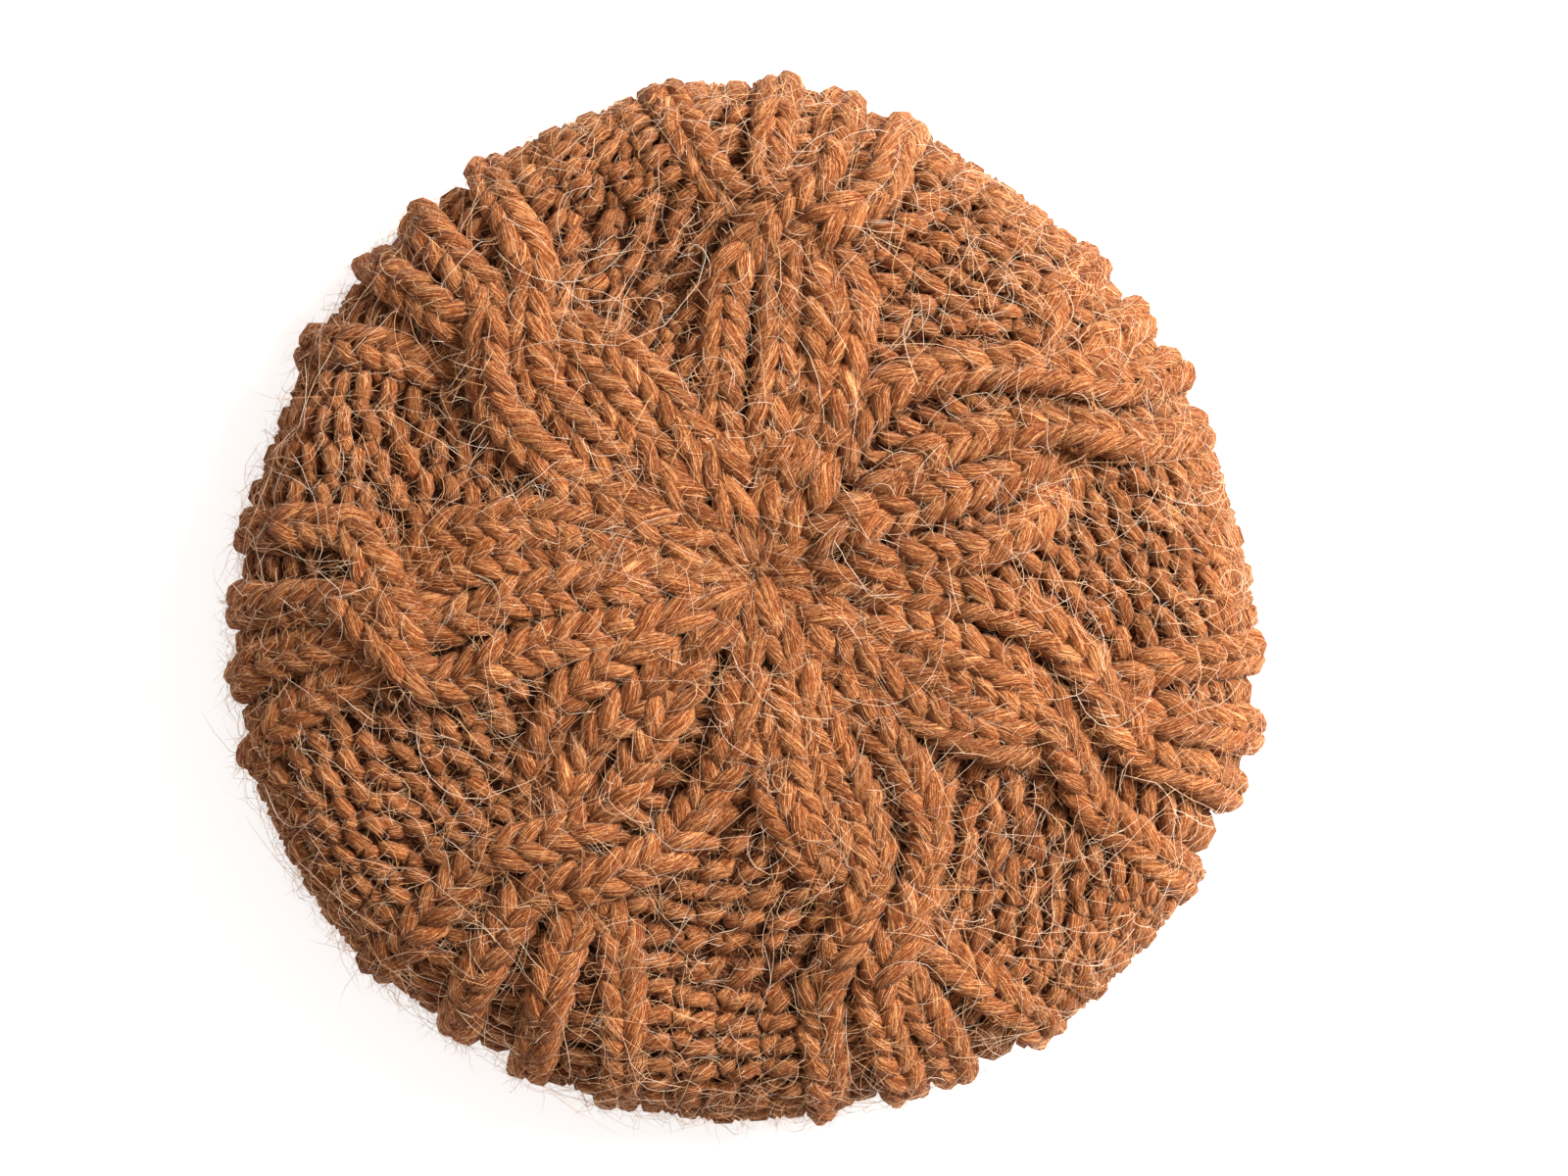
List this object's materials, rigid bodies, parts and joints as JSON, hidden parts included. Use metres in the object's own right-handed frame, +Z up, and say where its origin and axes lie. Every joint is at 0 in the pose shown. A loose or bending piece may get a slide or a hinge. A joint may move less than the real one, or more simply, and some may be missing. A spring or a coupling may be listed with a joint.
{
  "type": "tam o shanter",
  "caption": "Round flat knitted hat with a wide cabled crown gathered at the top, a soft turned-under rim and a ribbed headband.",
  "frame": {"origin": "middle of the outline seen from above, on the surface that the hem of the headband stands on", "axes": "+Z up through the crown, +X to the right and +Y away as the hat is seen from above in the picture"},
  "size_m": [0.2644, 0.2662, 0.0589],
  "materials": {
    "wool_crown": "fuzzy thick wool, hand knitted in ropes and purl ground",
    "wool_band": "fuzzy thick wool, knitted in a single rib"
  },
  "bodies": {
    "root": {"crown": "wool_crown", "band": "wool_band"}
  },
  "joints": []
}
